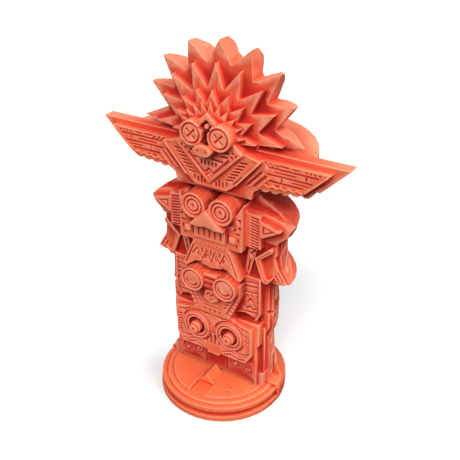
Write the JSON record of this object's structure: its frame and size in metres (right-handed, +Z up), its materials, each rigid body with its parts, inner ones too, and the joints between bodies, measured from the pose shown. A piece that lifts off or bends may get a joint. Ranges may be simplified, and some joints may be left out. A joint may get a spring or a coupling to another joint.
{
  "type": "totem sculpture",
  "caption": "Cast totem sculpture: stacked round-eyed creatures under a winged head with a spiked crest, standing on a round stepped plinth.",
  "frame": {"origin": "centre of the plinth's flat underside", "axes": "+Z up along the totem's height, carved front facing -Y, +X to the right as the front is seen"},
  "size_m": [0.1418, 0.0802, 0.2028],
  "materials": {
    "plinth_resin": "cast resin, coloured through, satin",
    "coral_resin": "cast resin, coloured through, satin"
  },
  "bodies": {
    "root": {"plinth": "plinth_resin", "totem": "coral_resin"}
  },
  "joints": []
}
